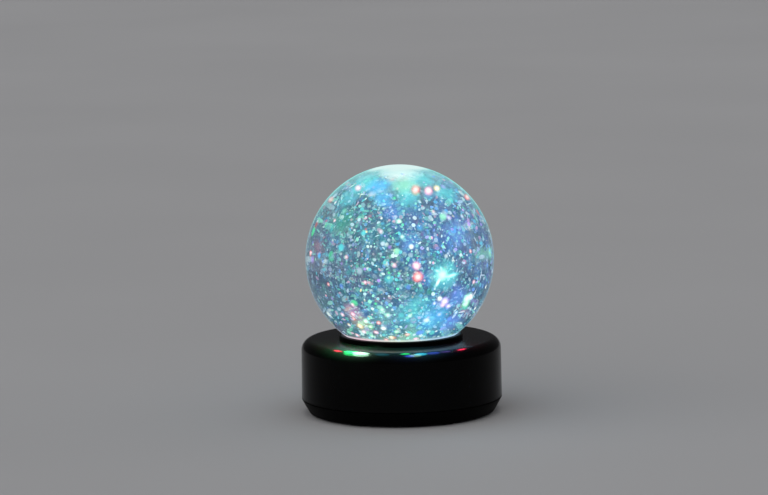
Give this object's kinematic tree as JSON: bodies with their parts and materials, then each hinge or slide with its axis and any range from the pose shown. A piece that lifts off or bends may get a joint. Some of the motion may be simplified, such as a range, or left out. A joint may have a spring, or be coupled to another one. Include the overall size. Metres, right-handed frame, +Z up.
{
  "type": "light-up disco ball",
  "caption": "Clear liquid-filled glitter ball, lit from below in several colours, standing in a low round black battery base with a door and a slide switch underneath.",
  "frame": {"origin": "on the floor under the ball, at the middle of the base's feet", "axes": "+Z up along the axis of ball and base; -Y towards the viewer of the picture; +X to the picture's right"},
  "size_m": [0.1064, 0.1064, 0.1316],
  "materials": {
    "black_plastic": "moulded, fine satin texture, black",
    "collar_plastic": "moulded, smooth half-gloss black",
    "clear_shell": "clear polished plastic",
    "glitter_liquid": "clear liquid with many fine loose flakes, lit from below",
    "foot_rubber": "matt black rubber",
    "silicone": "translucent white silicone",
    "screw_steel": "zinc plated steel",
    "contact_metal": "nickel plated spring steel",
    "switch_metal": "tin plated pressed can",
    "knob_plastic": "moulded, off-white",
    "board_green": "circuit board, green solder mask",
    "chip_black": "moulded chip and resistor bodies",
    "reflector_white": "moulded, glossy white",
    "led_red": "clear red lamp body, lit",
    "led_green": "clear green lamp body, lit",
    "led_blue": "clear blue lamp body, lit",
    "cell_can": "plain printed sleeve over a metal can",
    "lead_red": "soft insulated wire, red",
    "lead_black": "soft insulated wire, black"
  },
  "bodies": {
    "lamp": {"base_shell": "black_plastic", "bottom_cover": "black_plastic", "battery_box": "black_plastic", "collar_ring": "collar_plastic", "globe_shell": "clear_shell", "globe_plug": "clear_shell", "liquid_fill": "glitter_liquid", "foot_pad_1": "foot_rubber", "foot_pad_2": "foot_rubber", "foot_pad_3": "foot_rubber", "foot_pad_4": "foot_rubber", "plug_seal": "silicone", "globe_gasket": "silicone", "cover_screw_1": "screw_steel", "cover_screw_2": "screw_steel", "cover_screw_3": "screw_steel", "cover_screw_4": "screw_steel", "collar_screw_1": "screw_steel", "collar_screw_2": "screw_steel", "collar_screw_3": "screw_steel", "board_screw_1": "screw_steel", "board_screw_2": "screw_steel", "box_screw_1": "screw_steel", "box_screw_2": "screw_steel", "contact_spring_1": "contact_metal", "contact_spring_2": "contact_metal", "contact_spring_3": "contact_metal", "end_contact_plus": "contact_metal", "end_contact_minus": "contact_metal", "bridge_contact_front": "contact_metal", "bridge_contact_back": "contact_metal", "switch_body": "switch_metal", "led_board": "board_green", "driver_chip": "chip_black", "resistor_1": "chip_black", "resistor_2": "chip_black", "resistor_3": "chip_black", "reflector_ring": "reflector_white", "led_red_1": "led_red", "led_red_2": "led_red", "led_green_1": "led_green", "led_green_2": "led_green", "led_blue_1": "led_blue", "led_blue_2": "led_blue", "battery_cell_1": "cell_can", "battery_cell_2": "cell_can", "battery_cell_3": "cell_can", "lead_battery_to_switch": "lead_red", "lead_switch_to_board": "lead_red", "lead_battery_to_board": "lead_black"},
    "door": {"battery_door": "black_plastic", "door_screw": "screw_steel"},
    "knob": {"switch_knob": "knob_plastic"}
  },
  "joints": [
    {"name": "door_hinge", "type": "hinge", "parent": "lamp", "child": "door", "pos_m": [-0.0222, 0, 0.0008], "axis": [0, 1, 0], "range_deg": [0, 75]},
    {"name": "switch_slide", "type": "slide", "parent": "lamp", "child": "knob", "axis": [0, 1, 0], "range_m": [-0.003, 0]}
  ]
}
